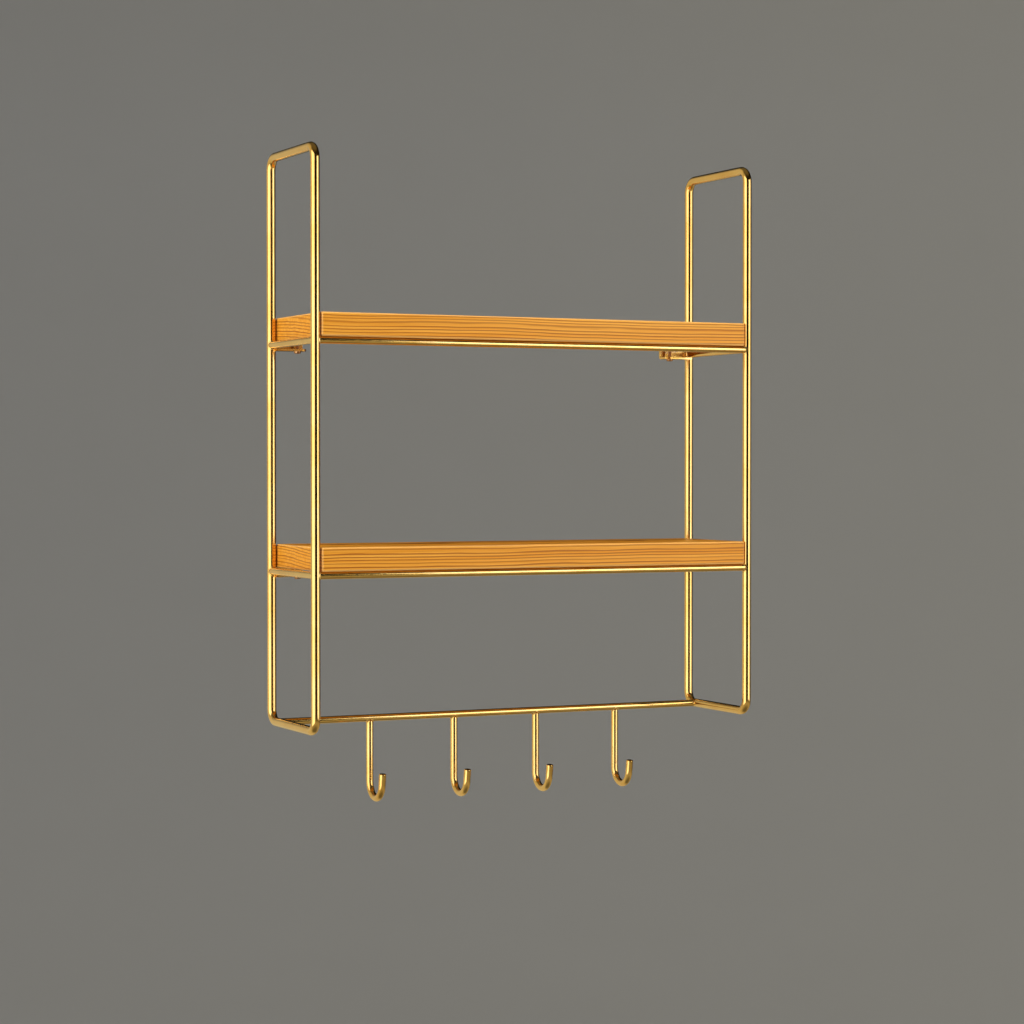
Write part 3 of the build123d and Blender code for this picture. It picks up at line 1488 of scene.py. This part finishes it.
@dataclass(frozen=True)
class Board:
    """A pine board with eased edges.

    Attributes:
        level: the board's level.
        edge: radius of the long edges and of the upright corners.
        end_edge: radius round the ends.
        sanding: how much the long edges' rounding comes and goes.
        ring_width: mean width of a growth ring.
        pith_depth: how far below the board the heart of the tree was.
        pith_offset: how far it was behind the board's middle.
        relief: how far soft early wood lies below the surface.
        heart_sway: size and period of the heart line's wander to the front and back.
        heart_rise: size and period of its wander up and down.
        good_years: size and period, in rings, of the slow change of ring width.
        odd_years: size and period, in rings, of the quicker change.
        outline_counts: rings on the outline's flat faces, on an edge, and on its front and rear.
        length_rings: rings along the board.
    """

    level: Level
    edge: float = 1.7 * MM
    end_edge: float = 1.3 * MM
    sanding: float = 0.18 * MM
    ring_width: float = 3.6 * MM
    pith_depth: float = 1.7
    pith_offset: float = 0.12
    relief: float = 0.03 * MM
    heart_sway: tuple[float, float] = (9.0 * MM, 0.95)
    heart_rise: tuple[float, float] = (1.6 * MM, 0.62)
    good_years: tuple[float, float] = (0.32, 5.3)
    odd_years: tuple[float, float] = (0.13, 2.2)
    outline_counts: tuple[int, int, int] = (150, 7, 42)
    length_rings: int = 72

    @property
    def node(self) -> str:
        """The board's CAD node."""
        return f"{self.level.value}_board"

    def growth(self, points: np.ndarray) -> np.ndarray:
        """Count the growth rings from the heart of the tree to each point.

        It is the distance from a slightly wandering heart line over the ring width, with good
        and bad years as slow waves in that distance.

        Args:
            points: places in the shelf's frame.

        Returns:
            The number of rings at each point.
        """
        low, high = (np.array(corner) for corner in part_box(self.node))
        seed = 1.3 if self.level is Level.UPPER else 4.1
        x, y, z = np.moveaxis(points, -1, 0)
        sway, sway_period = self.heart_sway
        rise, rise_period = self.heart_rise
        heart_y = (low[1] + high[1]) / 2 + self.pith_offset + sway * ripple(x, sway_period, seed)
        heart_z = low[2] - self.pith_depth + rise * ripple(x, rise_period, 2 * seed)
        away = np.hypot(y - heart_y, z - heart_z) / self.ring_width
        local = 0.16 * ripple(x + 1.5 * y, 0.21, seed) + 0.05 * ripple(x - 2 * z, 0.07, seed)
        good, good_period = self.good_years
        odd, odd_period = self.odd_years
        years = good * ripple(away, good_period, seed) + odd * ripple(away, odd_period, seed + 1)
        return away + years + local + 3 * seed

    def shell(self) -> Shell:
        """The board's surface.

        An outline of four sides and four round corners is carried along the board. Near each
        end it draws in along a quarter circle, and then shrinks onto the end's middle.

        Returns:
            The board, with its ring count and its eased edges marked.
        """
        low, high = (np.array(corner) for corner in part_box(self.node))
        depth, thick = high[1] - low[1], high[2] - low[2]
        corner_point = np.array([0.0, low[1], low[2]])
        outline = round_rectangle(
            corner_point, Y_AXIS, Z_AXIS, (depth, thick), self.edge, self.outline_counts
        )
        place = outline.stations(closed=True)
        section, heading, curvature = outline.at(place)
        outward = np.cross(heading, X_AXIS)

        quarter = np.linspace(0, math.pi / 2, 6)[:-1]
        cap = np.array([0.0, 0.03, 0.08, 0.16, 0.26, 0.38, 0.52, 0.68, 0.84, 0.97])
        half = (high[0] - low[0]) / 2
        run = np.linspace(-half + self.end_edge, half - self.end_edge, self.length_rings)
        flat = np.full(len(cap), self.end_edge)
        out = np.concatenate([self.end_edge * np.sin(quarter)[1:], flat])
        draw_in = np.concatenate([self.end_edge * (1 - np.cos(quarter))[1:], flat])
        shrink = np.concatenate([np.zeros(len(quarter) - 1), cap])
        x = np.concatenate([(run[0] - out)[::-1], run, run[-1] + out])
        inset = np.concatenate([draw_in[::-1], np.zeros(len(run)), draw_in])
        shrink = np.concatenate([shrink[::-1], np.zeros(len(run)), shrink])

        middle = np.array([0.0, (low[1] + high[1]) / 2, (low[2] + high[2]) / 2])
        corner = curvature > 0
        sanded = self.sanding * (1 + ripple(x[:, None] + 3 * place, 0.13, 2.0)) * corner / 2
        side = section - (inset[:, None] + sanded)[..., None] * outward
        rings = side * (1 - shrink)[:, None, None] + middle * shrink[:, None, None]
        rings = rings + x[:, None, None] * X_AXIS + (low[0] + high[0]) / 2 * X_AXIS

        growth = self.growth(rings)
        phase = growth % 1.0
        soft = self.relief * (1 - np.clip((phase - 0.4) / 0.5, 0, 1))
        rings = rings - (soft * (shrink[:, None] == 0))[..., None] * outward
        # Mask of the eased edges; the pine finish paints them lighter, partly as wear and partly as a
        # painted highlight.
        eased = np.maximum(corner[None, :] * 1.0, (inset > 0)[:, None] * 1.0) * (shrink[:, None] == 0)
        poles = (middle + x[0] * X_AXIS, middle + x[-1] * X_AXIS)
        marks = {"growth": growth, "eased": eased}
        return Shell(rings, poles, x, marks)

    def build(self, finish: bpy.types.Material) -> None:
        """Make the board."""
        piece = build_piece(f"{self.level.value}_pine_board", [self.shell()], finish)
        install(piece, Slot.PINE, self.node)


@dataclass(frozen=True)
class CornerFixings:
    """The corner brackets and board screws, which keep their CAD shapes, and the brackets' welds.

    Attributes:
        plan: the shelf's sizes and places.
        weld: how the brackets are welded to the posts.
        strip: thickness of the brackets' strip.
        seam_rings: rings along a fillet.
    """

    plan: ShelfPlan
    weld: WeldStyle = WeldStyle()
    strip: float = 2.5 * MM
    seam_rings: int = 41

    def dress(self, node: str, finish: bpy.types.Material) -> None:
        """Give a CAD node its finish.

        Args:
            node: the CAD node's name.
            finish: what it is finished with.
        """
        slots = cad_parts[node].material_slots
        for slot in slots:
            slot.material = finish
        log.info("%s: CAD shape in %s", node, finish.name)

    def seams(self, level: Level, side: Side) -> list[Shell]:
        """The fillets between a bracket and its post.

        One runs up the corner of the upright leg's front face. Two follow the post's curve,
        above and below the lower leg, over the arc on which that leg meets the post.

        Args:
            level: the board's level.
            side: the end of the shelf.

        Returns:
            The three fillets.
        """
        plan = self.plan
        low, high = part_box(f"{level.value}_{side.word}_bracket")
        radius, inboard = plan.loop_stock.radius, -side.value * X_AXIS
        axis = plan.point(side.value * plan.post_x, plan.rear_y, 0.0)
        count = np.ones((self.seam_rings, 1))

        face = -self.strip - plan.rear_y
        spoke = (math.sqrt(radius**2 - face**2) * inboard + face * Y_AXIS) / radius
        rise = np.linspace(low.z + 2 * self.strip, high.z - 1.0 * MM, self.seam_rings)
        line = axis + radius * spoke + rise[:, None] * Z_AXIS
        tangent = spoke[1] * inboard - abs(spoke[0]) * Y_AXIS
        upright = self.weld.seam(line, count * inboard, count * tangent, side.value)

        reach = math.acos((plan.post_x - max(abs(low.x), abs(high.x))) / radius)
        turn = np.linspace(-0.9 * reach, 0.9 * reach, self.seam_rings)[:, None]
        spokes = np.cos(turn) * inboard + np.sin(turn) * Y_AXIS
        made = [upright]
        for height, way in ((low.z, -Z_AXIS), (low.z + self.strip, Z_AXIS)):
            ring = axis + radius * spokes + height * Z_AXIS
            made.append(self.weld.seam(ring, spokes, count * way, height / MM))
        return made

    def build(
        self, gold: bpy.types.Material, bronze: bpy.types.Material, weld: bpy.types.Material
    ) -> None:
        """Dress the brackets and screws and make the seams.

        Args:
            gold: finish of the brackets.
            bronze: finish of the screws.
            weld: finish of the seams.
        """
        seams = []
        for level in Level:
            for side in Side:
                self.dress(f"{level.value}_{side.word}_bracket", gold)
                self.dress(f"{level.value}_{side.word}_board_screw", bronze)
                seams += self.seams(level, side)
        install(build_piece("bracket_welds", seams, weld), Slot.GOLD)


# ---------------------------------------------------------------------------
# Studio
# ---------------------------------------------------------------------------


@dataclass(frozen=True)
class SoftBox:
    """A large soft light that faces the shelf.

    Attributes:
        name: the light's name.
        azimuth: degrees to the right of the shelf's front, as seen from the shelf's side of it.
        height: degrees above level.
        distance: from the shelf's middle.
        size: width and height.
        power: in watts.
        tint: its colour.
        mirrored: whether polished metal shows it.
    """

    name: str
    azimuth: float
    height: float
    distance: float
    size: tuple[float, float]
    power: float
    tint: Colour = (1.0, 1.0, 1.0)
    mirrored: bool = True

    def build(self, target: np.ndarray) -> None:
        """Hang the light and turn it to the shelf.

        Args:
            target: the shelf's middle.
        """
        lamp = bpy.data.lights.new(self.name, "AREA")
        lamp.shape = "RECTANGLE"
        lamp.size, lamp.size_y = self.size
        lamp.energy = self.power
        lamp.color = self.tint
        turn, rise = math.radians(self.azimuth), math.radians(self.height)
        away = np.array(
            [math.sin(turn) * math.cos(rise), -math.cos(turn) * math.cos(rise), math.sin(rise)]
        )
        holder = bpy.data.objects.new(self.name, lamp)
        holder.location = target + self.distance * away
        holder.rotation_euler = (math.pi / 2 - rise, 0.0, turn)
        holder.visible_camera = False
        holder.visible_glossy = self.mirrored
        bpy.context.scene.collection.objects.link(holder)


@dataclass(frozen=True)
class Studio:
    """Floor, lights, surroundings and camera.

    Attributes:
        floor_z: height of the floor.
        floor_radius: of its flat part.
        floor_eye: radius of the disc in its middle.
        floor_sides: points round it.
        sweep_radius: of the bend between floor and wall.
        wall_height: of the wall's top over the floor.
        room_tint: colour of the room in polished metal.
        floor_glow: brightness of the floor there.
        back_glow: brightness of the back there.
        left_glow: brightness of the left there.
        top_glow: brightness overhead.
        gap_glow: brightness of the darkest parts.
        eye: where the camera stands.
        yaw: degrees that it is turned to the right.
        pitch: degrees that it looks up.
        lens: focal length in millimetres.
        lights: the soft boxes.
    """

    floor_z: float = -1.5
    floor_radius: float = 3.4
    floor_eye: float = 0.02
    floor_sides: int = 96
    sweep_radius: float = 2.6
    wall_height: float = 4.5
    room_tint: Colour = (1.0, 0.87, 0.52)
    floor_glow: float = 0.38
    back_glow: float = 0.58
    left_glow: float = 0.55
    top_glow: float = 0.12
    gap_glow: float = 0.012
    eye: tuple[float, float, float] = (-1.230, -2.642, -0.026)
    yaw: float = 25.545
    pitch: float = -1.035
    lens: float = 88.72
    lights: tuple[SoftBox, ...] = (
        SoftBox("key_box", -72.0, 3.0, 1.9, (2.4, 2.7), 30.0, (1.0, 0.98, 0.96)),
        SoftBox("right_box", 58.0, 4.0, 2.6, (1.8, 2.0), 10.0, (1.0, 0.98, 0.96)),
        SoftBox("front_box", 32.0, 6.0, 2.4, (1.0, 1.8), 13.0),
        SoftBox("left_fill", -66.0, 30.0, 2.3, (1.6, 1.6), 18.0, (1.0, 0.98, 0.94), False),
        SoftBox("right_fill", 40.0, 12.0, 1.3, (0.7, 0.9), 3.0, (1.0, 0.97, 0.93), False),
        SoftBox("top_fill", -15.0, 78.0, 2.2, (2.0, 1.4), 34.0, (1.0, 0.98, 0.95), False),
    )

    def floor(self) -> None:
        """A round floor that sweeps up into a wall, a profile turned about the upright axis."""
        sides = self.floor_sides
        flat = np.linspace(self.floor_eye, self.floor_radius, 12)
        bend = np.linspace(0, math.pi / 2, 24)[1:]
        wall = self.floor_radius + self.sweep_radius
        out = np.concatenate([flat, self.floor_radius + self.sweep_radius * np.sin(bend), [wall]])
        up = np.concatenate(
            [np.zeros(len(flat)), self.sweep_radius * (1 - np.cos(bend)), [self.wall_height]]
        )
        angle = np.arange(sides) * math.tau / sides
        rings = np.stack(
            [
                out[:, None] * np.cos(angle),
                out[:, None] * np.sin(angle),
                np.repeat(up[:, None] + self.floor_z, sides, axis=1),
            ],
            axis=-1,
        )
        shell = Shell(rings, None, out)
        quads, _ = shell.faces()
        quads = quads[: (len(out) - 1) * sides]
        mesh = bpy.data.meshes.new("studio_floor")
        disc = [list(range(sides))]
        mesh.from_pydata(shell.points().tolist(), [], quads.tolist() + disc)
        mesh.polygons.foreach_set("use_smooth", np.ones(len(quads) + 1, bool))
        mesh.materials.append(StudioFinish().material())
        floor = bpy.data.objects.new("studio_floor", mesh)
        floor.visible_glossy = False
        bpy.context.scene.collection.objects.link(floor)

    def surroundings(self) -> None:
        """The room as polished metal sees it: pale floor and back, dark round the front.

        The brightness is a smooth function of the direction alone: it rises towards the floor,
        falls again straight down, rises towards the back on the left, and stays low in front
        and at the upper right.
        """
        tree = ShadeTree(bpy.data.worlds.new("studio_room"))
        bpy.context.scene.world = tree.owner
        direction = tree.make("ShaderNodeTexCoord", output="Generated")
        parts = tree.node("ShaderNodeSeparateXYZ", None, {0: direction})
        right, back, up = (Shade(tree, parts.outputs[i]) for i in range(3))
        floor = (up * -1.0).band(0.02, 0.50) * self.floor_glow
        floor = floor * (1 - (up * -1.0).band(0.55, 0.98) * 0.65)
        lower_left = (right * -1.0 - up * 0.6).band(-0.45, 0.35)
        behind = back.band(-0.10, 0.55) * lower_left * self.back_glow
        left = (right * -1.0).band(0.55, 0.95) * self.left_glow
        above = up.band(0.60, 0.95) * self.top_glow
        strength = tree.math("MAXIMUM", tree.math("MAXIMUM", floor, behind), left)
        strength = tree.math("MAXIMUM", strength, above) + self.gap_glow
        shader = tree.make(
            "ShaderNodeBackground", None, {"Color": (*self.room_tint, 1.0), "Strength": strength}
        )
        tree.node("ShaderNodeOutputWorld", None, {"Surface": shader})

    def camera(self) -> None:
        """Stand the camera to the front left, a little below the shelf's middle."""
        camera = bpy.data.objects.new("camera", bpy.data.cameras.new("camera"))
        camera.data.lens = self.lens
        camera.data.clip_end = 100.0
        camera.location = self.eye
        camera.rotation_euler = (math.radians(90 + self.pitch), 0.0, -math.radians(self.yaw))
        bpy.context.scene.collection.objects.link(camera)
        bpy.context.scene.camera = camera
        bpy.context.scene.view_settings.view_transform = "Standard"

    def build(self) -> None:
        """Set the stage."""
        low, high = cad_box
        middle = np.array((low + high) / 2)
        self.floor()
        self.surroundings()
        self.camera()
        for light in self.lights:
            light.build(middle)
        log.info("studio: %d lights", len(self.lights))


def main() -> None:
    """Build the shelf's looks in order."""
    logging.basicConfig(level=logging.INFO, format="%(name)s %(message)s")
    plan = ShelfPlan.read()
    gold = GoldFinish().material()
    weld_gold = GoldFinish("gold_plate_on_weld", False, roughness=0.24).material()
    strip_gold = GoldFinish("gold_plate_on_strip", False, roughness=0.22).material()
    bronze = BronzeFinish().material()
    pine = PineFinish().material()

    Studio().build()
    for side in Side:
        SideLoop(plan, side).build(gold)
    for level in Level:
        BoardCarrier(plan, level).build(gold, weld_gold)
        Board(level).build(pine)
    HookRail(plan).build(gold, weld_gold)
    CornerFixings(plan).build(strip_gold, bronze, weld_gold)


if __name__ == "__main__":
    main()
